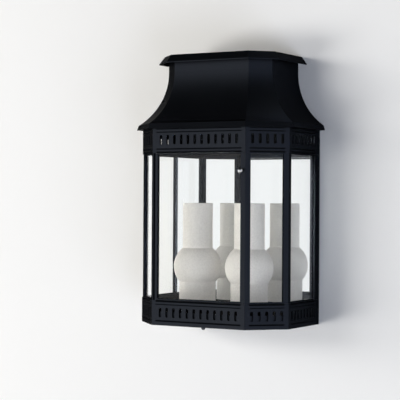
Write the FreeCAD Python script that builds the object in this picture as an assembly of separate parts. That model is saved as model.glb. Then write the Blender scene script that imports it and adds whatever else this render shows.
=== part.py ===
"""Wall lantern: five glazed faces, pierced galleries, concave roof, mirror back and two frosted chimneys."""
import FreeCAD, Part
import math
import os
from FreeCAD import Vector

os.makedirs("parts", exist_ok=True)

# Plan of the body at the gallery faces, with the wall at Y = 0 and the front towards -Y
front_width = 200.0
corner_width = 85.0
side_depth = 130.5

# Heights of the stacked parts, from the base upwards
base_height = 47.7
post_length = 278.4
frieze_height = 46.9
rail_height = 2.5

# Wall fixing: the origin is the centre of the screw pattern, on the wall
screw_spacing_x = 220.0
screw_spacing_z = 200.0
screw_hole_radius = 3.5
origin_height = 191.5

# Back box
plate_thickness = 2.0
mirror_depth = 18.0
mirror_thickness = 1.5
cable_hole_radius = 6.5
cable_bore_radius = 4.5

# Pierced panels: a field and slim beads flush with the corner strips, set apart by right-angled grooves
panel_wall = 2.9
base_foot = 7.0
base_foot_groove = 3.1
base_bead_groove = 1.9
base_bead = 3.4
base_head_groove = 3.6
base_slot_rise = 15.2
frieze_foot_groove = 3.4
frieze_foot = 3.0
frieze_field_groove = 2.8
frieze_bead_groove = 2.2
frieze_bead = 3.7
frieze_head_groove = 2.3
frieze_slot_rise = 16.1
pilaster_width = 8.5
slot_width = 5.8
slot_height = 18.6
front_slots = 12
corner_slots = 5
side_slots = 8
front_slot_margin = 18.5
corner_slot_margin = 13.5
side_slot_margin = 14.0
mitre_seam = 0.3
flange_width = 8.0
sheet = 2.0

# Posts and fixed glazing
post_inset = 1.5
rear_inset = 1.0
channel_setback = 1.0
seat_depth = 1.5
post_face = 10.0
post_depth = 8.0
sill_depth = 10.1
sill_height = 5.0
glass_thickness = 3.0
glass_inset = 4.5
glass_play = 0.2
groove_reach = 4.5

# Front door
door_thickness = 6.0
door_gap = 0.5
jamb_lip = 2.5
door_lip = 2.0
door_glass_thickness = 2.5
rebate_overlap = 2.5
rebate_height = 1.2
bead_reveal = 1.0
stop_gap = 0.8
stop_depth = 2.5
stop_reach = 8.0
door_swing = 110.0
swing_clearance = 0.5
pin_radius = 1.25
pin_clearance = 0.05
pin_grip = 8.0
knob_radius = 4.5
knob_rose_radius = 3.2
knob_rose = 1.2
knob_stem_radius = 1.8
knob_stem = 4.0
knob_drop = 31.1
magnet_length = 20.0
magnet_width = 4.0
strike_thickness = 0.4

# Roof and cap
eave_overhang = 11.0
eave_lip = 9.5
eave_lean = 3.2
roof_radius = 123.0
neck_inset = 47.0
neck_height = 29.5
roof_wall = 2.5
cap_height = 15.7
cap_inset = 29.0
cap_top_inset = 39.3
cap_edge = 1.5
cap_wall = 2.0
collar_height = 10.0

# Lamps and chimneys
lamp_spacing = 113.4
lamp_distance = 91.8
tray_height = 25.5
bulge_radius = 46.0
bulge_height = 109.1
tube_radius = 29.0
chimney_neck_radius = 35.5
chimney_top = 231.9
chimney_wall = 2.5
holder_rim = 10.0
holder_play = 0.5
holder_disc = 1.5
holder_hole_radius = 21.0
socket_foot_radius = 20.5
socket_foot = 20.0
socket_radius = 18.5
socket_height = 46.0
socket_bore_radius = 14.0
socket_floor_height = 14.0
bulb_cap_radius = 13.3
bulb_contact_radius = 5.0
bulb_radius = 19.0
bulb_shoulder = 16.0
bulb_body = 52.0
bulb_crown = 11.0
bulb_crown_radius = 15.0
lamp_hole_radius = 5.2

# Dome nuts under the base, on studs of the lamp tray
stud_radius = 2.5
stud_play = 0.3
nut_setback = 23.0
rear_nut_distance = 30.0
nut_corner_radius = 4.6
nut_drop = 2.5
dome_radius = 3.9
dome_height = 4.0

# Mirror fixing and wiring
mirror_overlap = 18.9
mirror_screw_rise = 12.9
spacer_radius = 5.0
screw_radius = 2.0
screw_play = 0.2
screw_crown_radius = 2.5
screw_head_radius = 4.0
screw_head = 2.2
block_width = 36.0
block_depth = 16.0
block_height = 13.0
block_pitch = 11.0
block_distance = 40.0
wire_hole_radius = 2.2
wire_rise = 5.0
clamp_screw_radius = 1.8
grommet_rim = 2.0
grommet_depth = 3.0

# Fits and the overrun of cutting shapes past what they cut
loose_fit = 0.3
seat_play = 0.5
overrun = 30.0

# Levels and plan sizes that follow from the above
slant = math.sqrt(0.5)
mitre = math.tan(math.radians(22.5))
half_width = front_width / 2 + corner_width * slant
depth = side_depth + corner_width * slant
base_low = -origin_height
base_top = base_low + base_height
frieze_low = base_top + post_length
frieze_top = frieze_low + frieze_height
window_low = base_top + rail_height
window_high = frieze_low - rail_height
eave_top = frieze_top + eave_lip
arc_centre_inset = neck_inset - roof_radius
arc_inset = eave_lean - eave_overhang
arc_angle = math.acos((arc_inset - arc_centre_inset) / roof_radius)
arc_top = eave_top + roof_radius * math.sin(arc_angle)
cap_ceiling = arc_top + neck_height
cap_top = cap_ceiling + cap_wall
cap_low = cap_top - cap_height
floor_low = base_low + sheet
floor_top = floor_low + sheet
tray_top = base_low + tray_height
tray_low = tray_top - sheet
glass_back = glass_inset + glass_thickness
post_back = post_inset + post_depth
wall_end = mirror_depth - plate_thickness
far = 2 * half_width + 2 * depth
faces = ["left_side", "left_corner", "front", "right_corner", "right_side"]
front = faces.index("front")


def save(shape, name):
    """Writes one piece to its own file."""
    shape.exportStep("parts/" + name + ".step")


def corner(index, inset):
    """Plan corner by number, from the left wall end round to the right one, moved inwards by inset."""
    side_x = half_width - inset
    shoulder = inset * mitre - side_depth
    front_x = front_width / 2 - inset * mitre
    left = [(-side_x, -plate_thickness), (-side_x, shoulder), (-front_x, inset - depth)]
    right = [(-x, y) for x, y in reversed(left)]
    x, y = (left + right)[index]
    return Vector(x, y, 0)


def axes(face):
    """Start corner, direction along the face and direction inwards of a face."""
    start = corner(face, 0)
    along = (corner(face + 1, 0) - start).normalize()
    return start, along, Vector(-along.y, along.x, 0)


def face_length(face):
    """Length of a face between its two corners."""
    return (corner(face + 1, 0) - corner(face, 0)).Length


def at(face, run, inset, z):
    """Point on a face: run along it, inset behind it, height z."""
    start, along, inward = axes(face)
    return start + along * run + inward * inset + Vector(0, 0, z)


def closed_face(points):
    """Flat face inside a closed line of points."""
    return Part.Face(Part.makePolygon(points + points[:1]))


def plan_prism(points, low, high):
    """Upright prism on a plan outline."""
    outline = [Vector(p.x, p.y, low) for p in points]
    return closed_face(outline).extrude(Vector(0, 0, high - low))


def box(low_x, high_x, low_y, high_y, low_z, high_z):
    """Upright box between two corners."""
    size = (high_x - low_x, high_y - low_y, high_z - low_z)
    return Part.makeBox(*size, Vector(low_x, low_y, low_z))


def upright(radius, x, y, low, high):
    """Upright cylinder."""
    return Part.makeCylinder(radius, high - low, Vector(x, y, low))


def curve(places):
    """Line between two places, or arc through three."""
    return Part.Arc(*places).toShape() if len(places) == 3 else Part.makeLine(*places)


def turned(path, x, y):
    """Solid turned about the upright line at x, y from a closed path of (radius, height) lines and arcs."""
    edges = [curve([Vector(r, 0, z) for r, z in points]) for points in path]
    shape = Part.Face(Part.Wire(edges)).revolve(Vector(0, 0, 0), Vector(0, 0, 1), 360)
    shape.translate(Vector(x, y, 0))
    return shape


def lines(points):
    """Closed path of straight lines through points."""
    return list(zip(points, points[1:] + points[:1]))


def outline(inset):
    """Plan outline of the body at an inset, closed along the wall plate."""
    return [corner(i, inset) for i in range(len(faces) + 1)]


def open_outline(inset):
    """The same outline run on through the wall plate, for a hollow that is open at the back."""
    points = outline(inset)
    points[0] += Vector(0, overrun, 0)
    points[-1] += Vector(0, overrun, 0)
    return points


def mitre_wedge(face):
    """Space that belongs to one face, between its two mitre planes."""
    along = axes(face)[1]
    start_seam = along * (mitre_seam / 2 if face > 0 else 0)
    end_seam = along * (mitre_seam / 2 if face < len(faces) - 1 else 0)
    outline = [
        corner(face, -overrun) + start_seam,
        corner(face + 1, -overrun) - end_seam,
        corner(face + 1, overrun) - end_seam,
        corner(face, overrun) + start_seam,
    ]
    return plan_prism(outline, base_low - overrun, cap_top + overrun)


def section_run(face, section):
    """Bar along one face with a section of (inset, height) points, mitred at the corners."""
    points = [at(face, -overrun, inset, z) for inset, z in section]
    bar = closed_face(points).extrude(axes(face)[1] * (face_length(face) + 2 * overrun))
    return bar.common(mitre_wedge(face))


def strip(face, start, end, outer, inner, low, high):
    """Block on one face from start to end along it and from outer to inner behind it."""
    corners = [(start, outer), (end, outer), (end, inner), (start, inner)]
    return plan_prism([at(face, run, inset, 0) for run, inset in corners], low, high)


def slot(face, run, low):
    """Upright slot with round ends through a panel."""
    half = slot_width / 2
    high = low + slot_height
    outer = -panel_wall
    low_left = at(face, run - half, outer, low + half)
    high_left = at(face, run - half, outer, high - half)
    high_right = at(face, run + half, outer, high - half)
    low_right = at(face, run + half, outer, low + half)
    edges = [
        Part.makeLine(low_left, high_left),
        Part.Arc(high_left, at(face, run, outer, high), high_right).toShape(),
        Part.makeLine(high_right, low_right),
        Part.Arc(low_right, at(face, run, outer, low), low_left).toShape(),
    ]
    return Part.Face(Part.Wire(edges)).extrude(axes(face)[2] * (3 * panel_wall))


def slot_runs(face):
    """Places of the slots along a face."""
    length = face_length(face)
    if faces[face] == "front":
        first, last, count = front_slot_margin, length - front_slot_margin, front_slots
    elif "corner" in faces[face]:
        first, last, count = corner_slot_margin, length - corner_slot_margin, corner_slots
    else:
        first, last, count = side_slot_margin, length - wall_end - side_slot_margin / 2, side_slots
    places = [first + (last - first) * i / (count - 1) for i in range(count)]
    return [length - p for p in places] if faces[face] == "left_side" else places


def field(face):
    """Start and end of a panel's field, between its corner strips."""
    start = wall_end if face == 0 else pilaster_width
    end = wall_end if face == len(faces) - 1 else pilaster_width
    return start, face_length(face) - end


def groove(face, low, high):
    """Right-angled groove along a panel between its corner strips, from a low to a high level."""
    start, end = field(face)
    middle = (low + high) / 2
    section = [(0, low), ((high - low) / 2, middle), (0, high), (-panel_wall, high), (-panel_wall, low)]
    points = [at(face, start, inset, z) for inset, z in section]
    return closed_face(points).extrude(axes(face)[1] * (end - start))


def pierced_panel(face, section, slot_low, grooves):
    """Gallery panel: plain section with a row of slots, and grooves between its corner strips."""
    cutters = [slot(face, run, slot_low) for run in slot_runs(face)]
    cutters += [groove(face, *levels) for levels in grooves]
    return section_run(face, section).cut(Part.makeCompound(cutters)).removeSplitter()


# Lower gallery: five pierced panels with a foot, a bead near the top and an inner flange for the floor
base_foot_top = base_low + base_foot
base_bead_top = base_top - base_head_groove
base_bead_low = base_bead_top - base_bead
base_grooves = [
    (base_foot_top, base_foot_top + base_foot_groove),
    (base_bead_low - base_bead_groove, base_bead_low),
    (base_bead_top, base_top),
]
base_section = [
    (0, base_low),
    (0, base_top),
    (panel_wall, base_top),
    (panel_wall, floor_low),
    (panel_wall + flange_width, floor_low),
    (panel_wall + flange_width, base_low),
]
for face, name in enumerate(faces):
    panel = pierced_panel(face, base_section, base_low + base_slot_rise, base_grooves)
    save(panel, "base_panel_" + name)

# Upper gallery: five pierced panels with a bead below and above, and a groove under the eave
frieze_foot_low = frieze_low + frieze_foot_groove
frieze_foot_top = frieze_foot_low + frieze_foot
frieze_bead_top = frieze_top - frieze_head_groove
frieze_bead_low = frieze_bead_top - frieze_bead
frieze_grooves = [
    (frieze_low, frieze_foot_low),
    (frieze_foot_top, frieze_foot_top + frieze_field_groove),
    (frieze_bead_low - frieze_bead_groove, frieze_bead_low),
    (frieze_bead_top, frieze_top),
]
frieze_section = [(0, frieze_low), (0, frieze_top), (panel_wall, frieze_top), (panel_wall, frieze_low)]
for face, name in enumerate(faces):
    panel = pierced_panel(face, frieze_section, frieze_low + frieze_slot_rise, frieze_grooves)
    save(panel, "frieze_panel_" + name)


# Posts: legs along the two faces that meet at a corner, from the mitre to a square end
def post_end(index, face, reach):
    """Plan point on the post face at a reach from a corner along one of its faces."""
    away = axes(face)[1] if face == index else axes(face)[1] * -1
    return corner(index, post_inset) + away * reach


def leg(index, face, reach, outer, inner):
    """Part of a post along one face, from outer to inner behind the gallery face."""
    inward = axes(face)[2]
    end = post_end(index, face, reach)
    outline = [corner(index, outer), end + inward * (outer - post_inset)]
    outline += [end + inward * (inner - post_inset), corner(index, inner)]
    return plan_prism(outline, base_top, frieze_low)


def glass_groove(index, face):
    """Groove for a pane's edge in the end of a post leg."""
    away = axes(face)[1] if face == index else axes(face)[1] * -1
    inward = axes(face)[2]
    end = post_end(index, face, post_face) + inward * (glass_inset - glass_play - post_inset)
    width = inward * (glass_thickness + 2 * glass_play)
    back = away * -groove_reach
    return plan_prism([end + away, end + away + width, end + back + width, end + back], base_top, frieze_low)


for index, side in ((1, "left"), (4, "right")):
    legs = [leg(index, face, post_face, post_inset, post_back) for face in (index - 1, index)]
    grooves = [glass_groove(index, face) for face in (index - 1, index)]
    post = legs[0].fuse(legs[1]).cut(grooves[0].fuse(grooves[1]))
    save(post.removeSplitter(), "side_post_" + side)

stop_outer = post_inset + door_thickness + stop_gap
stop_inner = stop_outer + stop_depth
knob_z = window_high - knob_drop
door_front = post_inset - depth
door_back = door_front + door_thickness
front_half = front_width / 2 - post_inset * mitre
hinge_x = jamb_lip + door_gap + door_thickness / 2 - front_half
hinge_y = door_front + door_thickness / 2
swing_half = door_thickness / 2 + swing_clearance
open_leaf = box(hinge_x, 0, hinge_y - swing_half, hinge_y + swing_half, base_top, frieze_low)
open_leaf.rotate(Vector(hinge_x, hinge_y, 0), Vector(0, 0, 1), -door_swing)
magnet_left = front_half - stop_reach + (stop_reach - jamb_lip - magnet_width) / 2
magnet_right = magnet_left + magnet_width
magnet_low = knob_z - magnet_length / 2
magnet_high = knob_z + magnet_length / 2
magnet = box(magnet_left, magnet_right, stop_outer - depth, stop_inner - depth, magnet_low, magnet_high)
for index, face, side in ((2, 1, "left"), (3, 3, "right")):
    post = leg(index, face, post_face, post_inset, post_back)
    post = post.fuse(leg(index, front, jamb_lip, post_inset, stop_outer))
    post = post.fuse(leg(index, front, stop_reach, stop_outer, stop_inner))
    post = post.cut(glass_groove(index, face))
    post = post.cut(magnet if side == "right" else open_leaf)
    save(post.removeSplitter(), "front_post_" + side)
save(magnet, "magnet_catch")

rear_inner = sill_depth + panel_wall
for sign, side in ((-1, "left"), (1, "right")):
    edges = sorted((sign * (half_width - rear_inset), sign * (half_width - rear_inner)))
    post = box(*edges, -mirror_depth, -plate_thickness, base_top, frieze_low)
    groove_outer = half_width - glass_inset + glass_play
    groove_inner = half_width - glass_back - glass_play
    edges = sorted((sign * groove_outer, sign * groove_inner))
    save(post.cut(box(*edges, -far, groove_reach - mirror_depth, base_top, frieze_low)), "rear_post_" + side)


# Sills and heads: bars behind the panels that carry the posts, with a channel for each fixed pane
def bay(face):
    """Start and end of the glazed bay of a face, between its posts."""
    post = post_inset * mitre + post_face
    start = wall_end if face == 0 else post
    end = wall_end if face == len(faces) - 1 else post
    return start, face_length(face) - end


def bar_section(low, high):
    """Section of a sill or a head behind the panels, between two levels."""
    inner = panel_wall + sill_depth
    return [(panel_wall, low), (inner, low), (inner, high), (panel_wall, high)]


pin_hole = upright(pin_radius + pin_clearance, hinge_x, hinge_y, base_low, frieze_top)
groove_outer = glass_inset - glass_play
groove_inner = glass_back + glass_play
channel_outer = post_inset + channel_setback
for face, name in enumerate(faces):
    low = base_top - sill_height
    high = frieze_low + sill_height
    sill = section_run(face, bar_section(low, base_top))
    head = section_run(face, bar_section(frieze_low, high))
    if face == front:
        sill = sill.cut(pin_hole)
        head = head.cut(pin_hole)
    else:
        start, end = bay(face)
        sill = sill.fuse(strip(face, start, end, channel_outer, post_back, base_top, window_low))
        head = head.fuse(strip(face, start, end, channel_outer, post_back, window_high, frieze_low))
        sill_seat = window_low - seat_depth
        head_seat = window_high + seat_depth
        cut_start = start - overrun
        cut_end = end + overrun
        sill = sill.cut(strip(face, cut_start, cut_end, groove_outer, groove_inner, sill_seat, frieze_low))
        head = head.cut(strip(face, cut_start, cut_end, groove_outer, groove_inner, base_top, head_seat))
        reach = groove_reach - seat_play
        pane_high = head_seat - seat_play
        pane = strip(face, start - reach, end + reach, glass_inset, glass_back, sill_seat, pane_high)
        save(pane, "glass_" + name)
    save(sill.removeSplitter(), "sill_" + name)
    save(head.removeSplitter(), "head_" + name)

# Front door: rebated frame with a rounded hinge edge, turning on two pins in the sill and the head
door_half = front_half - jamb_lip - door_gap
stile_half = front_half - post_face
door_low = base_top + door_gap
door_high = frieze_low - door_gap
frame = box(hinge_x, door_half, door_front, door_back, door_low, door_high)
frame = frame.fuse(upright(door_thickness / 2, hinge_x, hinge_y, door_low, door_high))
frame = frame.cut(box(-stile_half, stile_half, -far, far, window_low, window_high))
rebate_half = stile_half + rebate_overlap
rebate_low = window_low - rebate_height
rebate_high = window_high + rebate_height
rebate_front = door_front + door_lip
frame = frame.cut(box(-rebate_half, rebate_half, rebate_front, far, rebate_low, rebate_high))
lower_pin_top = door_low + pin_grip
upper_pin_low = door_high - pin_grip
lower_socket = upright(pin_radius + pin_clearance, hinge_x, hinge_y, door_low, lower_pin_top)
upper_socket = upright(pin_radius + pin_clearance, hinge_x, hinge_y, upper_pin_low, door_high)
save(frame.cut(lower_socket.fuse(upper_socket)).removeSplitter(), "door_frame")
lower_pin = upright(pin_radius, hinge_x, hinge_y, base_top - sill_height, lower_pin_top)
upper_pin = upright(pin_radius, hinge_x, hinge_y, upper_pin_low, frieze_low + sill_height)
save(Part.makeCompound([lower_pin, upper_pin]), "hinge_pins")
pane_half = rebate_half - loose_fit
glass_rear = rebate_front + door_glass_thickness
save(box(-pane_half, pane_half, rebate_front, glass_rear, rebate_low, rebate_high - loose_fit), "door_glass")
inner_half = stile_half - bead_reveal
beads = [
    box(-rebate_half, -inner_half, glass_rear, door_back, rebate_low, rebate_high),
    box(inner_half, rebate_half, glass_rear, door_back, rebate_low, rebate_high),
    box(-inner_half, inner_half, glass_rear, door_back, rebate_low, window_low + bead_reveal),
    box(-inner_half, inner_half, glass_rear, door_back, window_high - bead_reveal, rebate_high),
]
save(Part.makeCompound(beads), "glazing_beads")
strike_back = door_back + strike_thickness
save(box(magnet_left, magnet_right, door_back, strike_back, magnet_low, magnet_high), "strike_plate")
knob_x = (stile_half + door_half) / 2
stem_angle = math.asin(knob_stem_radius / knob_radius)
knob_centre = knob_stem + knob_radius * math.cos(stem_angle)
knob_tip = (0, knob_centre + knob_radius)
stem_end = (knob_stem_radius, knob_stem)
knob_foot = [(0, 0), (knob_rose_radius, 0), (knob_rose_radius, knob_rose)]
knob_foot += [(knob_stem_radius, knob_rose), stem_end]
knob_path = list(zip(knob_foot, knob_foot[1:]))
knob_path += [[stem_end, (knob_radius, knob_centre), knob_tip], [knob_tip, knob_foot[0]]]
knob = turned(knob_path, 0, 0)
knob.rotate(Vector(0, 0, 0), Vector(1, 0, 0), 90)
knob.translate(Vector(knob_x, door_front, knob_z))
save(knob, "door_knob")


# Roof: the same concave profile over all five faces, open below and closed by the wall plate behind
def hipped(path, rear):
    """Space under one profile of edges over all five faces, in front of the plane at rear."""
    space = box(-far, far, -far, rear, base_low, cap_top)
    for face in range(len(faces)):
        edges = []
        for points in path:
            edges.append(curve([at(face, -far, inset, z) for inset, z in points]))
        first = at(face, -far, *path[0][0])
        last = at(face, -far, *path[-1][-1])
        high_far = at(face, -far, far, path[-1][-1][1])
        low_far = at(face, -far, far, path[0][0][1])
        edges += [curve([last, high_far]), curve([high_far, low_far]), curve([low_far, first])]
        prism = Part.Face(Part.Wire(edges)).extrude(axes(face)[1] * (2 * far + face_length(face)))
        space = space.common(prism)
    return space


def roof_arc(radius, start_inset):
    """Concave arc of the roof from a start inset up to the neck, about the shared centre."""
    turn = math.acos((start_inset - arc_centre_inset) / radius)
    angles = (turn, turn / 2, 0)
    return [(arc_centre_inset + radius * math.cos(a), arc_top - radius * math.sin(a)) for a in angles]


outer_arc = roof_arc(roof_radius, arc_inset)
inner_arc = roof_arc(roof_radius + roof_wall, panel_wall)
neck_inner = neck_inset + roof_wall
outer_path = [
    [(-eave_overhang, frieze_top), outer_arc[0]],
    outer_arc,
    [outer_arc[-1], (neck_inset, cap_ceiling)],
]
inner_path = [
    [(panel_wall, frieze_low), inner_arc[0]],
    inner_arc,
    [inner_arc[-1], (neck_inner, cap_top)],
]
roof = hipped(outer_path, -plate_thickness).cut(hipped(inner_path, 0))
save(roof.removeSplitter(), "roof_shell")

# Cap: bevelled lid that overhangs the neck, with a collar inside the neck
cap_path = [
    [(cap_inset, cap_low), (cap_inset, cap_low + cap_edge)],
    [(cap_inset, cap_low + cap_edge), (cap_top_inset, cap_top)],
]
hollow_inset = cap_inset + cap_wall
hollow_path = [
    [(hollow_inset, base_low), (hollow_inset, cap_low + cap_edge)],
    [(hollow_inset, cap_low + cap_edge), (cap_top_inset + cap_wall, cap_ceiling)],
]
cap = hipped(cap_path, 0).cut(hipped(hollow_path, far))
collar_inset = neck_inner + loose_fit
collar_low = cap_ceiling - collar_height
collar = plan_prism(outline(collar_inset), collar_low, cap_ceiling)
collar = collar.cut(plan_prism(open_outline(collar_inset + cap_wall), base_low, cap_top))
save(cap.fuse(collar).removeSplitter(), "roof_cap")

# Wall plate: flat sheet with the outline of the body and the roof, holes for the wall screws and the cable
right_path = [
    [(0, base_low), (0, frieze_top)],
    [(0, frieze_top), (-eave_overhang, frieze_top)],
] + outer_path
plate_edges = []
for points in right_path:
    for sign in (1, -1):
        plate_edges.append(curve([Vector(sign * (half_width - inset), 0, z) for inset, z in points]))
bottom = Part.makeLine(Vector(-half_width, 0, base_low), Vector(half_width, 0, base_low))
neck_half = half_width - neck_inset
top = Part.makeLine(Vector(-neck_half, 0, cap_ceiling), Vector(neck_half, 0, cap_ceiling))
plate_wire = Part.Wire(Part.__sortEdges__(plate_edges + [bottom, top]))
plate = Part.Face(plate_wire).extrude(Vector(0, -plate_thickness, 0))
forward = Vector(0, -1, 0)
for x in (-screw_spacing_x / 2, screw_spacing_x / 2):
    for z in (-screw_spacing_z / 2, screw_spacing_z / 2):
        plate = plate.cut(Part.makeCylinder(screw_hole_radius, plate_thickness, Vector(x, 0, z), forward))
cable_z = (floor_top + tray_low) / 2
plate = plate.cut(Part.makeCylinder(cable_hole_radius, plate_thickness, Vector(0, 0, cable_z), forward))
save(plate, "back_plate")
grommet = Part.makeCylinder(cable_hole_radius, plate_thickness, Vector(0, 0, cable_z), forward)
rim_radius = cable_hole_radius + grommet_rim
rim = Part.makeCylinder(rim_radius, grommet_depth, Vector(0, -plate_thickness, cable_z), forward)
grommet = grommet.fuse(rim).cut(Part.makeCylinder(cable_bore_radius, overrun, Vector(0, 0, cable_z), forward))
save(grommet.removeSplitter(), "cable_grommet")

# Mirror: polished sheet that stands on the tray and is screwed to two spacers behind the frieze
mirror_half = half_width - rear_inner - loose_fit
mirror_back = mirror_thickness - mirror_depth
mirror_high = frieze_low + mirror_overlap
mirror_screw_z = frieze_low + mirror_screw_rise
screw_hole = screw_radius + screw_play
spacer_length = -plate_thickness - mirror_back
mirror = box(-mirror_half, mirror_half, -mirror_depth, mirror_back, tray_top, mirror_high)
spacers = []
screws = []
for x in (-screw_spacing_x / 2, screw_spacing_x / 2):
    seat = Vector(x, -plate_thickness, mirror_screw_z)
    clear_hole = Part.makeCylinder(screw_hole, mirror_depth, seat, forward)
    mirror = mirror.cut(clear_hole)
    spacers.append(Part.makeCylinder(spacer_radius, spacer_length, seat, forward).cut(clear_hole))
    shank = Part.makeCylinder(screw_radius, mirror_depth - plate_thickness, seat, forward)
    head_seat = Vector(x, -mirror_depth, mirror_screw_z)
    head = Part.makeCone(screw_head_radius, screw_crown_radius, screw_head, head_seat, forward)
    screws.append(shank.fuse(head))
save(mirror, "mirror_panel")
save(Part.makeCompound(spacers), "mirror_spacers")
save(Part.makeCompound(screws), "mirror_screws")

# Floor and lamp tray: flat floor on the panel flanges, folded tray on the floor, dome nuts below
nut_places = [(0, nut_setback - depth)]
nut_places += [(x, -rear_nut_distance) for x in (-lamp_spacing, lamp_spacing)]
floor = plan_prism(outline(panel_wall + loose_fit), floor_low, floor_top)
tray_inset = panel_wall + seat_play + loose_fit
tray = plan_prism(outline(tray_inset), floor_top, tray_top)
tray = tray.cut(plan_prism(open_outline(tray_inset + sheet), base_low, tray_low))
nut_low = base_low - nut_drop
dome_low = nut_low - dome_height
stud_low = nut_low - dome_height / 4
stud_hole = stud_radius + stud_play
nuts = []
for x, y in nut_places:
    floor = floor.cut(upright(stud_hole, x, y, base_low, tray_low))
    tray = tray.fuse(upright(stud_radius, x, y, stud_low, tray_top))
    radial = Vector(nut_corner_radius, 0, 0)
    spin = FreeCAD.Rotation(Vector(0, 0, 1), 60)
    hexagon = []
    for _ in range(6):
        hexagon.append(Vector(x, y, 0) + radial)
        radial = spin.multVec(radial)
    dome_side = (dome_radius, nut_low)
    dome_bend = (dome_radius * slant, nut_low - dome_height * slant)
    dome = [[(0, nut_low), dome_side], [dome_side, dome_bend, (0, dome_low)], [(0, dome_low), (0, nut_low)]]
    nut = plan_prism(hexagon, nut_low, floor_low).fuse(turned(dome, x, y))
    nuts.append(nut.cut(upright(stud_hole, x, y, stud_low, floor_low)))
save(floor, "base_plate")
save(Part.makeCompound(nuts), "base_cap_nuts")


# Lamps: holder ring, lamp socket, bulb and frosted chimney at each lamp place
def bulge(inset):
    """Arc of the chimney's bulge from the neck to the tube, inset from the outer face."""
    radius = bulge_radius - inset
    centre = base_low + bulge_height
    neck = chimney_neck_radius - inset
    tube = tube_radius - inset
    low = centre - math.sqrt(radius**2 - neck**2)
    high = centre + math.sqrt(radius**2 - tube**2)
    return [(neck, low), (radius, centre), (tube, high)]


chimney_low = tray_top + holder_disc
chimney_high = base_low + chimney_top
rim_inner = chimney_neck_radius + holder_play
rim_outer = rim_inner + holder_disc
rim_top = chimney_low + holder_rim
holder_path = lines([
    (holder_hole_radius, tray_top),
    (rim_outer, tray_top),
    (rim_outer, rim_top),
    (rim_inner, rim_top),
    (rim_inner, chimney_low),
    (holder_hole_radius, chimney_low),
])
socket_floor = tray_top + socket_floor_height
socket_top = tray_top + socket_height
foot_top = tray_top + socket_foot
socket_path = lines([
    (0, tray_top),
    (socket_foot_radius, tray_top),
    (socket_foot_radius, foot_top),
    (socket_radius, foot_top + socket_foot_radius - socket_radius),
    (socket_radius, socket_top),
    (socket_bore_radius, socket_top),
    (socket_bore_radius, socket_floor),
    (0, socket_floor),
])
shoulder_top = socket_top + bulb_shoulder
body_top = shoulder_top + bulb_body
crown_top = body_top + bulb_crown
bulb_path = lines([
    (0, socket_floor),
    (bulb_contact_radius, socket_floor),
    (bulb_cap_radius, socket_floor + bulb_cap_radius - bulb_contact_radius),
    (bulb_cap_radius, socket_top),
    (bulb_radius, shoulder_top),
    (bulb_radius, body_top),
    (bulb_crown_radius, crown_top),
    (0, crown_top),
])
outside = bulge(0)
inside = bulge(chimney_wall)
inside_low = (inside[0][0], chimney_low)
inside_high = (inside[-1][0], chimney_high)
chimney_path = [
    [(outside[0][0], chimney_low), outside[0]],
    outside,
    [outside[-1], (outside[-1][0], chimney_high)],
    [(outside[-1][0], chimney_high), inside_high],
    [inside_high, inside[-1]],
    inside[::-1],
    [inside[0], inside_low],
    [inside_low, (outside[0][0], chimney_low)],
]
for x, side in ((-lamp_spacing / 2, "left"), (lamp_spacing / 2, "right")):
    save(turned(chimney_path, x, -lamp_distance), "chimney_" + side)
    save(turned(holder_path, x, -lamp_distance), "chimney_holder_" + side)
    save(turned(socket_path, x, -lamp_distance), "lampholder_" + side)
    save(turned(bulb_path, x, -lamp_distance), "bulb_" + side)
    tray = tray.cut(upright(lamp_hole_radius, x, -lamp_distance, tray_low, tray_top))
save(tray.removeSplitter(), "lamp_tray")

# Terminal block on the floor, in front of the cable hole
block_front = -block_distance - block_depth / 2
block_back = block_front + block_depth
block_top = floor_top + block_height
wire_z = floor_top + wire_rise
block = box(-block_width / 2, block_width / 2, block_front, block_back, floor_top, block_top)
for x in (-block_pitch, 0, block_pitch):
    wire_hole = Part.makeCylinder(wire_hole_radius, block_depth, Vector(x, block_back, wire_z), forward)
    block = block.cut(wire_hole.fuse(upright(clamp_screw_radius, x, -block_distance, wire_z, block_top)))
save(block, "terminal_block")
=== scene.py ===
import math

import bpy
import numpy as np
from mathutils import Euler, Matrix, Vector


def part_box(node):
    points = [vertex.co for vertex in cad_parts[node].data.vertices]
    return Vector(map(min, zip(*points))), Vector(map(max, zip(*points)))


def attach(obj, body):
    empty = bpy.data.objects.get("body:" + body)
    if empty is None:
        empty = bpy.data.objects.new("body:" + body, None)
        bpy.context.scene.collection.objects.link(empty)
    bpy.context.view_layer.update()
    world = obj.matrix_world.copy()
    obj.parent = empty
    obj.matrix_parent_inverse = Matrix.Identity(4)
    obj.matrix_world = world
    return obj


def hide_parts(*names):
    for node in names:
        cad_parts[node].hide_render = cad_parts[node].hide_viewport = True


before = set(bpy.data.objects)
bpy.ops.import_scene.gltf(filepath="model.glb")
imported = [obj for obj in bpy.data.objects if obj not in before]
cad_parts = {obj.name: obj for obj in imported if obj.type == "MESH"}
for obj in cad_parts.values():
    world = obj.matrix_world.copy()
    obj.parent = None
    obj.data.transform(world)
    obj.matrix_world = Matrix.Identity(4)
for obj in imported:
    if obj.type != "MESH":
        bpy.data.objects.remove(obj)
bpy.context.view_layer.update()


# Floor, galleries, posts, sills, heads, roof, cap, lamp tray and chimney rings: cut, folded and spun
# aluminium sheet with mitred corners, welded and ground flush, then powder coated in satin black.
# The baked film holds fine metal flake and a faint orange peel, so it gives a soft sheen and no sharp glints.
def linear(code):
    """sRGB hex colour as linear RGBA: each channel goes through the sRGB curve."""
    srgb = np.array([int(code[i:i + 2], 16) for i in (1, 3, 5)]) / 255
    flat = np.where(srgb <= 0.04045, srgb / 12.92, ((srgb + 0.055) / 1.055) ** 2.4)
    return (*flat.tolist(), 1.0)


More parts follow.
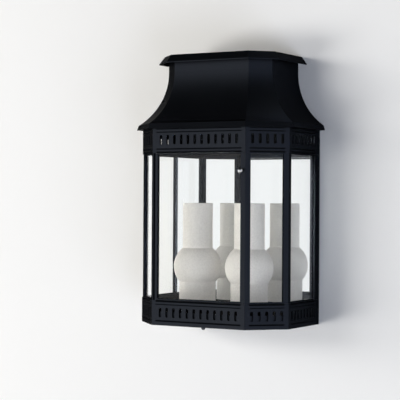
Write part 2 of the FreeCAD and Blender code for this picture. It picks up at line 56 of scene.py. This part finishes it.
def add_node(tree, kind, settings={}, values={}, links={}):
    """Adds a node, sets its properties and socket values, and links sockets of other nodes to it."""
    made = tree.nodes.new(kind)
    for name, value in settings.items():
        setattr(made, name, value)
    for name, value in values.items():
        made.inputs[name].default_value = value
    for name, source in links.items():
        tree.links.new(source, made.inputs[name])
    return made


def new_material(name, values):
    """Material with one Principled shader of the given socket values; returns it, its tree and its shader."""
    made = bpy.data.materials.new(name)
    made.use_nodes = True
    tree = made.node_tree
    tree.nodes.clear()
    shader = add_node(tree, "ShaderNodeBsdfPrincipled", values=values)
    add_node(tree, "ShaderNodeOutputMaterial", links={"Surface": shader.outputs["BSDF"]})
    return made, tree, shader


def coat(names, material):
    """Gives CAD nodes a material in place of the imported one."""
    for name in names:
        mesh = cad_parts[name].data
        mesh.materials.clear()
        mesh.materials.append(material)


powder_coat, tree, shader = new_material("satin black flake powder coat", {
    "Base Color": linear("#2f3238"),
    "Metallic": 0.95,
    "Roughness": 0.4,
    "Specular IOR Level": 0.2,
    "Specular Tint": (0.12, 0.12, 0.12, 1.0),
})
place = add_node(tree, "ShaderNodeTexCoord").outputs["Object"]
cloud_size = 70.0 / 1000
cloud = add_node(
    tree, "ShaderNodeTexNoise",
    values={"Scale": 1 / cloud_size, "Detail": 3.0}, links={"Vector": place},
)
sheen = add_node(
    tree, "ShaderNodeMapRange",
    values={"To Min": 0.36, "To Max": 0.44}, links={"Value": cloud.outputs["Fac"]},
)
tree.links.new(sheen.outputs["Result"], shader.inputs["Roughness"])
tint = add_node(
    tree, "ShaderNodeMix", {"data_type": "RGBA"},
    {"A": linear("#2c2f35"), "B": linear("#32353b")}, {"Factor": cloud.outputs["Fac"]},
)
tree.links.new(tint.outputs["Result"], shader.inputs["Base Color"])
peel_size = 1.6 / 1000
peel_depth = 0.05 / 1000
peel = add_node(
    tree, "ShaderNodeTexNoise",
    values={"Scale": 1 / peel_size, "Detail": 2.0}, links={"Vector": place},
)
ripple = add_node(
    tree, "ShaderNodeBump",
    values={"Strength": 0.12, "Distance": peel_depth}, links={"Height": peel.outputs["Fac"]},
)
tree.links.new(ripple.outputs["Normal"], shader.inputs["Normal"])
body_faces = ["left_side", "left_corner", "front", "right_corner", "right_side"]
face_bars = ("base_panel_", "frieze_panel_", "sill_", "head_")
posts = ("front_post_", "side_post_", "rear_post_")
coated = ["base_plate", "lamp_tray", "roof_shell", "roof_cap"]
coated += ["chimney_holder_left", "chimney_holder_right"]
coated += [bar + face for bar in face_bars for face in body_faces]
coated += [post + side for post in posts for side in ("left", "right")]
coat(coated, powder_coat)


# Wall plate: flat aluminium sheet with four screw holes and a cable hole, which closes the body at the back.
# The wall and the mirror hide it, so it has a sprayed coat of matt black primer with a dry, fine grain.
primer, tree, shader = new_material("matt black primer", {
    "Base Color": linear("#1c1e21"),
    "Roughness": 0.8,
    "Specular IOR Level": 0.2,
})
place = add_node(tree, "ShaderNodeTexCoord").outputs["Object"]
spray_size = 0.7 / 1000
spray_depth = 0.05 / 1000
spray = add_node(
    tree, "ShaderNodeTexNoise",
    values={"Scale": 1 / spray_size, "Detail": 2.0}, links={"Vector": place},
)
dry = add_node(
    tree, "ShaderNodeBump",
    values={"Strength": 0.3, "Distance": spray_depth}, links={"Height": spray.outputs["Fac"]},
)
tree.links.new(dry.outputs["Normal"], shader.inputs["Normal"])
coat(["back_plate"], primer)


# Mirror spacers: short lengths of drawn aluminium bar in mill finish, between the wall plate and the mirror.
# Drawing leaves fine lines along the bar, which stretch its highlights across them.
mill_aluminium, tree, shader = new_material("mill finish aluminium", {
    "Base Color": linear("#c9cacb"),
    "Metallic": 1.0,
    "Roughness": 0.38,
})
place = add_node(tree, "ShaderNodeTexCoord").outputs["Object"]
line_spacing = 0.9 / 1000
stretch = add_node(tree, "ShaderNodeMapping", values={"Scale": (1.0, 0.04, 1.0)}, links={"Vector": place})
drawing = add_node(
    tree, "ShaderNodeTexNoise",
    values={"Scale": 1 / line_spacing, "Detail": 3.0}, links={"Vector": stretch.outputs["Vector"]},
)
grain = add_node(
    tree, "ShaderNodeMapRange",
    values={"To Min": 0.30, "To Max": 0.46}, links={"Value": drawing.outputs["Fac"]},
)
tree.links.new(grain.outputs["Result"], shader.inputs["Roughness"])
coat(["mirror_spacers"], mill_aluminium)


# Hinge pins, mirror screws, strike plate and the dome nuts under the base: steel, turned or stamped.
# Fine tool marks blur its reflections a little, and the nuts are given a dark steel tone.
def turned_steel(name, code):
    """Bare steel of one tone whose gloss wavers with tool marks."""
    made, tree, shader = new_material(name, {"Base Color": linear(code), "Metallic": 1.0, "Roughness": 0.28})
    place = add_node(tree, "ShaderNodeTexCoord").outputs["Object"]
    mark_spacing = 0.6 / 1000
    marks = add_node(
        tree, "ShaderNodeTexNoise",
        values={"Scale": 1 / mark_spacing, "Detail": 2.0}, links={"Vector": place},
    )
    blur = add_node(
        tree, "ShaderNodeMapRange",
        values={"To Min": 0.22, "To Max": 0.36}, links={"Value": marks.outputs["Fac"]},
    )
    tree.links.new(blur.outputs["Result"], shader.inputs["Roughness"])
    return made


coat(["hinge_pins", "mirror_screws", "strike_plate"], turned_steel("turned stainless steel", "#a9abac"))
# The dome nuts get a darker steel tone than the other steel parts
coat(["base_cap_nuts"], turned_steel("dark-toned steel", "#4b4d51"))


# Terminal block, cable grommet and magnet catch: moulded plastic, rubber and ferrite in a plastic case.
# They are plain matt mouldings with a faint spark-eroded grain.
def moulded(name, code, roughness, grain_size):
    """Matt moulding of one colour with a fine grain of a size in metres in its surface."""
    made, tree, shader = new_material(name, {"Base Color": linear(code), "Roughness": roughness})
    place = add_node(tree, "ShaderNodeTexCoord").outputs["Object"]
    grain_depth = 0.05 / 1000
    grain = add_node(
        tree, "ShaderNodeTexNoise",
        values={"Scale": 1 / grain_size, "Detail": 2.0}, links={"Vector": place},
    )
    bump = add_node(
        tree, "ShaderNodeBump",
        values={"Strength": 0.25, "Distance": grain_depth}, links={"Height": grain.outputs["Fac"]},
    )
    tree.links.new(bump.outputs["Normal"], shader.inputs["Normal"])
    return made


coat(["terminal_block"], moulded("white polyamide", "#d6d4cc", roughness=0.5, grain_size=0.8 / 1000))
coat(["cable_grommet"], moulded("black rubber", "#17171a", roughness=0.7, grain_size=0.6 / 1000))
coat(["magnet_catch"], moulded("black ferrite", "#1d1c1c", roughness=0.6, grain_size=0.5 / 1000))


# Lampholders: white glazed ceramic sockets, fired and glossy, that stand on the tray inside the chimneys.
# The glaze pools a little, so its gloss wavers slowly.
glazed_ceramic, tree, shader = new_material("white glazed ceramic", {
    "Base Color": linear("#e6e3da"),
    "Roughness": 0.16,
    "IOR": 1.52,
})
place = add_node(tree, "ShaderNodeTexCoord").outputs["Object"]
pool_size = 9.0 / 1000
pool = add_node(
    tree, "ShaderNodeTexNoise",
    values={"Scale": 1 / pool_size, "Detail": 1.0}, links={"Vector": place},
)
gloss = add_node(
    tree, "ShaderNodeMapRange",
    values={"To Min": 0.10, "To Max": 0.24}, links={"Value": pool.outputs["Fac"]},
)
tree.links.new(gloss.outputs["Result"], shader.inputs["Roughness"])
coat(["lampholder_left", "lampholder_right"], glazed_ceramic)


# Bulbs: opal glass bulbs with a rolled screw cap, turned into the lampholders.
# The opal glass is smooth and white, and the cap shares its tone, because the chimney hides it.
def lathe(profile, place, segments):
    """Surface of revolution: point (r, z) of the profile at angle a is (x + r cos a, y + r sin a, z).

    Ends of the profile that lie on the axis are closed by a fan of triangles about one point.
    """
    profile = np.asarray(profile, float)
    least_radius = 1e-9
    on_axis = profile[:, 0] <= least_radius
    rings = profile[~on_axis]
    angle = np.arange(segments) * 2 * math.pi / segments
    x = place[0] + rings[:, :1] * np.cos(angle)
    y = place[1] + rings[:, :1] * np.sin(angle)
    z = np.repeat(rings[:, 1:], segments, axis=1)
    points = np.stack([x, y, z], axis=2).reshape(-1, 3)
    index = np.arange(len(points)).reshape(len(rings), segments)
    following = np.roll(index, -1, axis=1)
    quads = np.stack([index[:-1], following[:-1], following[1:], index[1:]], axis=2).reshape(-1, 4)
    faces = quads.tolist()
    for end, turn in ((0, 1), (-1, -1)):
        if on_axis[end]:
            points = np.vstack([points, [place[0], place[1], profile[end, 1]]])
            tip = np.full(segments, len(points) - 1)
            fan = np.stack([tip, following[end], index[end]], axis=1)[:, ::turn]
            faces += fan.tolist()
    return points, faces


def arc(centre, radius, start, end, count):
    """Arc as a count of points (r, z) about a centre, from a start to an end angle in degrees."""
    angle = np.radians(np.linspace(start, end, count))
    return np.stack([centre[0] + radius * np.cos(angle), centre[1] + radius * np.sin(angle)], axis=1)


def new_piece(name, points, faces, material, body, node):
    """Smooth mesh piece in the row frame that rides on a body and stands for a CAD node."""
    mesh = bpy.data.meshes.new(name)
    mesh.from_pydata(np.asarray(points).tolist(), [], faces)
    mesh.polygons.foreach_set("use_smooth", [True] * len(mesh.polygons))
    mesh.materials.append(material)
    piece = bpy.data.objects.new(name, mesh)
    bpy.context.scene.collection.objects.link(piece)
    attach(piece, body)
    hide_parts(node)


def lamp_axis(node):
    """Middle of a CAD node in plan, with its lowest and highest level."""
    low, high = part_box(node)
    return ((low[0] + high[0]) / 2, (low[1] + high[1]) / 2), low[2], high[2]


opal_glass, tree, shader = new_material("opal bulb glass", {
    "Base Color": linear("#efece4"),
    "Roughness": 0.3,
    "IOR": 1.5,
})
place = add_node(tree, "ShaderNodeTexCoord").outputs["Object"]
haze_size = 12.0 / 1000
haze = add_node(
    tree, "ShaderNodeTexNoise",
    values={"Scale": 1 / haze_size, "Detail": 1.0}, links={"Vector": place},
)
milk = add_node(
    tree, "ShaderNodeMapRange",
    values={"To Min": 0.24, "To Max": 0.36}, links={"Value": haze.outputs["Fac"]},
)
tree.links.new(milk.outputs["Result"], shader.inputs["Roughness"])
contact_radius = 5.0 / 1000
contact_height = 8.0 / 1000
cap_radius = 13.3 / 1000
cap_length = 32.0 / 1000
thread_pitch = 3.6 / 1000
thread_depth = 0.5 / 1000
shoulder_length = 16.0 / 1000
bulb_radius = 19.0 / 1000
crown_height = bulb_radius * 0.92
bulb_segments = 64
for side in ("left", "right"):
    middle, low, high = lamp_axis("bulb_" + side)
    thread_z = np.linspace(low + contact_height, low + cap_length, 60)
    thread_r = cap_radius - thread_depth * (0.5 - 0.5 * np.cos((thread_z - low) * 2 * math.pi / thread_pitch))
    ease = np.linspace(0, 1, 14)
    shoulder_r = cap_radius + (bulb_radius - cap_radius) * (0.5 - 0.5 * np.cos(ease * math.pi))
    shoulder_z = low + cap_length + ease * shoulder_length
    turn = np.linspace(0, math.pi / 2, 20)
    crown_r = bulb_radius * np.cos(turn)
    crown_z = high - crown_height + crown_height * np.sin(turn)
    crown_r[-1] = 0.0
    profile = np.concatenate([
        [(0.0, low), (contact_radius, low)],
        np.stack([thread_r, thread_z], axis=1),
        np.stack([shoulder_r[1:], shoulder_z[1:]], axis=1),
        np.stack([crown_r, crown_z], axis=1),
    ])
    points, faces = lathe(profile, middle, bulb_segments)
    new_piece("opal_bulb_" + side, points, faces, opal_glass, "lantern", "bulb_" + side)


# Chimneys: blown white glass, a ball between a collar and a straight tube, sand-blasted outside.
# The blasting scatters light, so the glass looks chalky and mottled, with no reflections.
# The glass also has a faint even glow. This is painted light that stands in for the little light coming
# through from its far side.
frosted_glass, tree, shader = new_material("sand-blasted white glass", {
    "Base Color": linear("#d8d6d0"),
    "Roughness": 0.62,
    "IOR": 1.45,
    # Painted glow: the emission lightens the glass evenly where light would come through it
    "Emission Color": linear("#fdfaf6"),
    "Emission Strength": 0.11,
})
place = add_node(tree, "ShaderNodeTexCoord").outputs["Object"]
grit_size = 1.1 / 1000
grit_depth = 0.06 / 1000
grit = add_node(
    tree, "ShaderNodeTexNoise",
    values={"Scale": 1 / grit_size, "Detail": 3.0}, links={"Vector": place},
)
frost = add_node(
    tree, "ShaderNodeBump",
    values={"Strength": 0.2, "Distance": grit_depth}, links={"Height": grit.outputs["Fac"]},
)
tree.links.new(frost.outputs["Normal"], shader.inputs["Normal"])
# The mottling of the grit is drawn coarser than it is, so that it shows
mottle_size = 3.2 / 1000
mottle = add_node(
    tree, "ShaderNodeTexNoise",
    values={"Scale": 1 / mottle_size, "Detail": 3.0}, links={"Vector": place},
)
chalk = add_node(
    tree, "ShaderNodeMix", {"data_type": "RGBA"},
    {"A": linear("#cbc6be"), "B": linear("#e9e5dd")}, {"Factor": mottle.outputs["Fac"]},
)
tree.links.new(chalk.outputs["Result"], shader.inputs["Base Color"])
ball_radius = 46.0 / 1000
tube_radius = 29.0 / 1000
collar_radius = 35.5 / 1000
glass_wall = 2.5 / 1000
ball_rise = 82.1 / 1000
blend_radius = 2.5 / 1000
chimney_segments = 128
# A blend's centre lies one blend radius outside both the ball and the straight wall,
# so its height from the ball's centre is one side of a right-angled triangle
rim = glass_wall / 2
span = ball_radius + blend_radius
collar_side = collar_radius + blend_radius
tube_side = tube_radius + blend_radius
collar_drop = math.sqrt(span**2 - collar_side**2)
tube_climb = math.sqrt(span**2 - tube_side**2)
collar_turn = -math.degrees(math.atan2(collar_drop, collar_side))
tube_turn = math.degrees(math.atan2(tube_climb, tube_side))
inner_ball = ball_radius - glass_wall
inner_low = -math.degrees(math.acos((collar_radius - glass_wall) / inner_ball))
inner_high = math.degrees(math.acos((tube_radius - glass_wall) / inner_ball))
for side in ("left", "right"):
    middle, low, high = lamp_axis("chimney_" + side)
    centre = low + ball_rise
    profile = np.concatenate([
        arc((collar_radius - rim, low + rim), rim, -90, 0, count=6),
        arc((collar_side, centre - collar_drop), blend_radius, 180, 180 + collar_turn, count=8),
        arc((0, centre), ball_radius, collar_turn, tube_turn, count=64)[1:-1],
        arc((tube_side, centre + tube_climb), blend_radius, 180 + tube_turn, 180, count=8),
        arc((tube_radius - rim, high - rim), rim, 0, 180, count=12),
        arc((0, centre), inner_ball, inner_high, inner_low, count=48),
        arc((collar_radius - rim, low + rim), rim, 180, 270, count=6),
    ])
    points, faces = lathe(profile, middle, chimney_segments)
    node = "chimney_" + side
    new_piece("glass_" + node, points, faces, frosted_glass, "lantern", node)


# Mirror: a polished sheet in front of the wall plate, which stands on the tray and doubles the lamps.
# It is clean and flat, with a trace of haze from wiping.
polished_mirror, tree, shader = new_material("polished mirror sheet", {
    "Base Color": linear("#f4f5f5"),
    "Metallic": 1.0,
    "Roughness": 0.02,
})
place = add_node(tree, "ShaderNodeTexCoord").outputs["Object"]
wipe_size = 45.0 / 1000
wipe = add_node(
    tree, "ShaderNodeTexNoise",
    values={"Scale": 1 / wipe_size, "Detail": 2.0}, links={"Vector": place},
)
smear = add_node(
    tree, "ShaderNodeMapRange",
    values={"To Min": 0.01, "To Max": 0.04}, links={"Value": wipe.outputs["Fac"]},
)
tree.links.new(smear.outputs["Result"], shader.inputs["Roughness"])
coat(["mirror_panel"], polished_mirror)


# Panes: clear float glass, cut to size and slid into the grooves of the posts, or set in the door's rebate.
# It is colourless and nearly flat, and its IOR is set low because the panes show hardly any reflection.
float_glass, tree, shader = new_material("clear float glass", {
    "Base Color": linear("#feffff"),
    "Roughness": 0.0,
    "IOR": 1.25,
    "Transmission Weight": 1.0,
})
place = add_node(tree, "ShaderNodeTexCoord").outputs["Object"]
wave_size = 60.0 / 1000
wave_depth = 0.4 / 1000
wave = add_node(
    tree, "ShaderNodeTexNoise",
    values={"Scale": 1 / wave_size, "Detail": 0.0}, links={"Vector": place},
)
flow = add_node(
    tree, "ShaderNodeBump",
    values={"Strength": 0.05, "Distance": wave_depth}, links={"Height": wave.outputs["Fac"]},
)
tree.links.new(flow.outputs["Normal"], shader.inputs["Normal"])
panes = ["glass_" + face for face in body_faces if face != "front"]
coat(panes + ["door_glass"], float_glass)


# Door: a rebated frame of square bar with welded corners that turns on two pins, coated as the body is.
# Glazing beads behind the pane are coated strips.
coat(["door_frame", "glazing_beads"], powder_coat)


# Door knob: a small stainless ball on a stem with a round rose, screwed through the stile.
# The ball is polished nearly mirror bright, and the stem and rose are coloured the coat's near-black.
polished_steel, tree, shader = new_material("polished stainless steel", {
    "Base Color": linear("#d9dadb"),
    "Metallic": 1.0,
    "Roughness": 0.1,
})
place = add_node(tree, "ShaderNodeTexCoord").outputs["Object"]
buff_size = 1.5 / 1000
buff = add_node(
    tree, "ShaderNodeTexNoise",
    values={"Scale": 1 / buff_size, "Detail": 1.0}, links={"Vector": place},
)
shine = add_node(
    tree, "ShaderNodeMapRange",
    values={"To Min": 0.06, "To Max": 0.14}, links={"Value": buff.outputs["Fac"]},
)
tree.links.new(shine.outputs["Result"], shader.inputs["Roughness"])
low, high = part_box("door_knob")
knob_x = (low[0] + high[0]) / 2
knob_z = (low[2] + high[2]) / 2
knob_radius = (high[0] - low[0]) / 2
knob_length = high[1] - low[1]
rose_radius = 3.2 / 1000
rose_depth = 1.2 / 1000
rose_edge = 0.5 / 1000
stem_radius = 1.8 / 1000
knob_segments = 64
stem_turn = math.degrees(math.acos(stem_radius / knob_radius))
ball_centre = knob_length - knob_radius
ball_start = high[1] - ball_centre + math.sqrt(knob_radius**2 - stem_radius**2)
# Behind the ball, the stem and rose are coloured near-black
depth = add_node(tree, "ShaderNodeSeparateXYZ", links={"Vector": place}).outputs["Y"]
blacked = add_node(tree, "ShaderNodeMath", {"operation": "GREATER_THAN"}, {1: ball_start}, {0: depth})
finish = add_node(
    tree, "ShaderNodeMix", {"data_type": "RGBA"},
    {"A": linear("#d9dadb"), "B": linear("#2f3238")}, {"Factor": blacked.outputs["Value"]},
)
tree.links.new(finish.outputs["Result"], shader.inputs["Base Color"])
ball = arc((0, ball_centre), knob_radius, -stem_turn, 90, count=40)
ball[-1, 0] = 0.0
profile = np.concatenate([
    [(0.0, 0.0), (rose_radius, 0.0)],
    arc((rose_radius - rose_edge, rose_depth - rose_edge), rose_edge, 0, 90, count=6),
    [(stem_radius, rose_depth)],
    ball,
])
points, faces = lathe(profile, (0.0, 0.0), knob_segments)
# The turned shape stands upright, so its axis is laid forwards at the knob's place:
# (x, y, z) becomes (x, -z, y)
outward = np.stack([knob_x + points[:, 0], high[1] - points[:, 2], knob_z + points[:, 1]], axis=1)
new_piece("polished_knob", outward, faces, polished_steel, "door", "door_knob")


# Studio wall and floor: a pale painted wall that the lantern hangs on, and a pale floor far below.
# The wall has an opening behind the lantern's plate and can't be seen from behind, so that the back shows.
# It fades to dark grey above the picture, where the roof reflects it.
def stage_plane(name, points, faces, material):
    """Flat stage surface of four-cornered faces."""
    mesh = bpy.data.meshes.new(name)
    mesh.from_pydata(points, [], faces)
    mesh.materials.append(material)
    made = bpy.data.objects.new(name, mesh)
    bpy.context.scene.collection.objects.link(made)


def stage_material(name, code):
    """Plain diffuse stage paint; returns it, its tree, its shader and its output."""
    made = bpy.data.materials.new(name)
    made.use_nodes = True
    tree = made.node_tree
    tree.nodes.clear()
    diffuse = add_node(tree, "ShaderNodeBsdfDiffuse", values={"Color": linear(code)})
    output = add_node(tree, "ShaderNodeOutputMaterial", links={"Surface": diffuse.outputs["BSDF"]})
    return made, tree, diffuse, output


wall_tone = "#f7f7f6"
fade_start = 0.58
fade_end = 1.0
wall_paint, tree, diffuse, output = stage_material("white wall paint", wall_tone)
place = add_node(tree, "ShaderNodeTexCoord").outputs["Object"]
height = add_node(tree, "ShaderNodeSeparateXYZ", links={"Vector": place}).outputs["Z"]
fade = add_node(
    tree, "ShaderNodeMapRange", {"interpolation_type": "SMOOTHSTEP"},
    {"From Min": fade_start, "From Max": fade_end}, {"Value": height},
)
shade = add_node(
    tree, "ShaderNodeMix", {"data_type": "RGBA"},
    {"A": linear(wall_tone), "B": linear("#303030")}, {"Factor": fade.outputs["Result"]},
)
tree.links.new(shade.outputs["Result"], diffuse.inputs["Color"])
behind = add_node(tree, "ShaderNodeNewGeometry").outputs["Backfacing"]
clear = add_node(tree, "ShaderNodeBsdfTransparent")
one_sided = add_node(tree, "ShaderNodeMixShader", links={"Fac": behind})
tree.links.new(diffuse.outputs["BSDF"], one_sided.inputs[1])
tree.links.new(clear.outputs["BSDF"], one_sided.inputs[2])
tree.links.new(one_sided.outputs["Shader"], output.inputs["Surface"])

# Seen directly, in metal or through glass, the floor is evenly pale, and otherwise it is lit as paint
floor_paint, tree, diffuse, output = stage_material("pale floor", "#efefee")
path = add_node(tree, "ShaderNodeLightPath")
seen = add_node(
    tree, "ShaderNodeMath", {"operation": "MAXIMUM"},
    links={0: path.outputs["Is Camera Ray"], 1: path.outputs["Is Glossy Ray"]},
)
direct = add_node(
    tree, "ShaderNodeMath", {"operation": "MAXIMUM"},
    links={0: seen.outputs["Value"], 1: path.outputs["Is Transmission Ray"]},
)
pale = add_node(tree, "ShaderNodeEmission", values={"Color": linear("#f3f3f2"), "Strength": 1.0})
floor_view = add_node(tree, "ShaderNodeMixShader", links={"Fac": direct.outputs["Value"]})
tree.links.new(diffuse.outputs["BSDF"], floor_view.inputs[1])
tree.links.new(pale.outputs["Emission"], floor_view.inputs[2])
tree.links.new(floor_view.outputs["Shader"], output.inputs["Surface"])

wall_y = 0.6 / 1000
wall_reach = 6.0
wall_high = 6.0
floor_z = -5.0
floor_reach = 12.0
overlap = 5.0 / 1000
low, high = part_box("back_plate")
body_half = -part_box("frieze_panel_left_side")[0][0] - overlap
neck_half = 113.0 / 1000 - overlap
roof_radius = 123.0 / 1000
roof_low = 191.0 / 1000
roof_high = 293.4 / 1000
# Over the hollow roof, the opening's half width is an arc that is upright at its top:
# neck + r - sqrt(r^2 - (top - z)^2)
roof_z = np.linspace(roof_low, roof_high, 14)
roof_half = neck_half + roof_radius - np.sqrt(roof_radius**2 - (roof_high - roof_z) ** 2)
wall_z = np.concatenate([[floor_z, low[2] + overlap], roof_z, [high[2] - overlap, wall_high]])
half = np.concatenate([[body_half] * 2, np.minimum(roof_half, body_half), [neck_half] * 2])
far = np.full(len(half), wall_reach)
wall_x = np.stack([-far, -half, half, far], axis=1)
points = np.stack(np.broadcast_arrays(wall_x, wall_y, wall_z[:, None]), axis=2).reshape(-1, 3)
index = np.arange(len(points)).reshape(wall_x.shape)
cells = np.stack([index[:-1, :-1], index[:-1, 1:], index[1:, 1:], index[1:, :-1]], axis=2)
closed = np.ones(cells.shape[:2], bool)
closed[1:-1, 1] = False
stage_plane("wall", points.tolist(), cells[closed].tolist(), wall_paint)
floor_corners = [
    (-floor_reach, -floor_reach, floor_z),
    (floor_reach, -floor_reach, floor_z),
    (floor_reach, floor_reach, floor_z),
    (-floor_reach, floor_reach, floor_z),
]
stage_plane("floor", floor_corners, [(0, 1, 2, 3)], floor_paint)


# Surrounding light: a studio that is bright below eye level and on the left, cooler on the right, dark above.
# Seen directly it is white. What scatters light gets only a share of it, so that the lamps do the shaping:
# a small one in the open, and a larger one through the panes.
world = bpy.data.worlds.new("studio")
bpy.context.scene.world = world
world.use_nodes = True
tree = world.node_tree
tree.nodes.clear()
direction = add_node(tree, "ShaderNodeTexCoord").outputs["Generated"]
height = add_node(tree, "ShaderNodeSeparateXYZ", links={"Vector": direction}).outputs["Z"]
below = add_node(
    tree, "ShaderNodeMapRange", {"interpolation_type": "SMOOTHSTEP"},
    {"From Min": 0.05, "From Max": 0.5, "To Min": 1.0, "To Max": 0.015}, {"Value": height},
)
left_front = Vector((-0.8, -0.6, 0.0))
leftward = add_node(
    tree, "ShaderNodeVectorMath", {"operation": "DOT_PRODUCT"}, {1: left_front}, {0: direction},
)
sideways = add_node(
    tree, "ShaderNodeMapRange", {"interpolation_type": "SMOOTHSTEP"},
    {"From Min": -0.6, "From Max": 0.9, "To Min": 0.66, "To Max": 1.0}, {"Value": leftward.outputs["Value"]},
)
soft = add_node(
    tree, "ShaderNodeMath", {"operation": "MULTIPLY"},
    links={0: below.outputs["Result"], 1: sideways.outputs["Result"]},
)
path = add_node(tree, "ShaderNodeLightPath")
scattered = add_node(
    tree, "ShaderNodeMath", {"operation": "MINIMUM"}, {1: 1.0}, {0: path.outputs["Diffuse Depth"]},
)
glazed = add_node(
    tree, "ShaderNodeMath", {"operation": "MINIMUM"}, {1: 1.0}, {0: path.outputs["Transmission Depth"]},
)
# Lamps stay out of reflections, so the world gives the light that the mirror throws on the chimneys' backs
mirrored = add_node(
    tree, "ShaderNodeMath", {"operation": "MINIMUM"}, {1: 1.0}, {0: path.outputs["Glossy Depth"]},
)
open_share = 0.2
pane_share = 0.74
mirror_share = 1.5
thrown = add_node(
    tree, "ShaderNodeMapRange",
    values={"To Min": pane_share, "To Max": mirror_share}, links={"Value": mirrored.outputs["Value"]},
)
dimmed = add_node(
    tree, "ShaderNodeMapRange", values={"To Min": open_share},
    links={"Value": glazed.outputs["Value"], "To Max": thrown.outputs["Result"]},
)
share = add_node(
    tree, "ShaderNodeMapRange", values={"To Min": 1.0},
    links={"Value": scattered.outputs["Value"], "To Max": dimmed.outputs["Result"]},
)
level = add_node(
    tree, "ShaderNodeMath", {"operation": "MULTIPLY"},
    links={0: soft.outputs["Value"], 1: share.outputs["Result"]},
)
coolness = add_node(
    tree, "ShaderNodeMapRange",
    values={"From Min": -0.6, "From Max": 0.9}, links={"Value": leftward.outputs["Value"]},
)
cast = add_node(
    tree, "ShaderNodeMix", {"data_type": "RGBA"},
    {"A": linear("#dbe6ff"), "B": linear("#ffffff")}, {"Factor": coolness.outputs["Result"]},
)
lit = add_node(
    tree, "ShaderNodeBackground",
    links={"Color": cast.outputs["Result"], "Strength": level.outputs["Value"]},
)
white = add_node(tree, "ShaderNodeBackground", values={"Color": linear("#ffffff"), "Strength": 1.0})
bounces = add_node(
    tree, "ShaderNodeMath", {"operation": "ADD"},
    links={0: path.outputs["Diffuse Depth"], 1: path.outputs["Glossy Depth"]},
)
open_view = add_node(
    tree, "ShaderNodeMath", {"operation": "LESS_THAN"}, {1: 0.5}, {0: bounces.outputs["Value"]},
)
mixed = add_node(tree, "ShaderNodeMixShader", links={"Fac": open_view.outputs["Value"]})
tree.links.new(lit.outputs["Background"], mixed.inputs[1])
tree.links.new(white.outputs["Background"], mixed.inputs[2])
add_node(tree, "ShaderNodeOutputWorld", links={"Surface": mixed.outputs["Shader"]})


# Lamps and camera: soft boxes on the left, low and high and to the side, and a cooler one low on the right.
# The two on the left leave free what the mirror shows to the camera, which looks from the front right.
def soft_lamp(name, location, target, width, depth, power, code):
    """Rectangular soft box of a width and depth in metres that faces a target point."""
    lamp = bpy.data.lights.new(name, "AREA")
    lamp.shape = "RECTANGLE"
    lamp.size = width
    lamp.size_y = depth
    lamp.energy = power
    lamp.color = linear(code)[:3]
    made = bpy.data.objects.new(name, lamp)
    bpy.context.scene.collection.objects.link(made)
    made.visible_glossy = False
    made.location = location
    made.rotation_euler = (Vector(target) - Vector(location)).to_track_quat("-Z", "Y").to_euler()


body_middle = (0.0, -0.05, 0.05)
side_middle = (0.0, -0.05, 0.0)
soft_lamp("low_key", (-3.05, -4.7, -1.24), body_middle, width=3.6, depth=1.2, power=128.0, code="#fffdf9")
soft_lamp("high_key", (-3.05, -4.7, 0.95), body_middle, width=3.6, depth=1.0, power=82.0, code="#fffdf9")
soft_lamp("side", (-4.9, -3.0, 0.6), side_middle, width=2.4, depth=2.4, power=84.0, code="#fffbf4")
soft_lamp("fill", (4.2, -3.5, -2.5), body_middle, width=3.0, depth=3.0, power=130.0, code="#e4ecff")

camera_lens = 125.53
camera_sensor = 36.0
camera_place = (1.3058, -2.4389, 0.0463)
camera_yaw = math.radians(30.06)
camera_roll = math.radians(0.338)
camera = bpy.data.objects.new("camera", bpy.data.cameras.new("camera"))
bpy.context.scene.collection.objects.link(camera)
bpy.context.scene.camera = camera
camera.data.lens = camera_lens
camera.data.sensor_width = camera_sensor
camera.location = camera_place
aim = Euler((math.pi / 2, 0, camera_yaw)).to_matrix() @ Matrix.Rotation(camera_roll, 3, "Z")
camera.rotation_euler = aim.to_euler()
bpy.context.scene.view_settings.view_transform = "Standard"
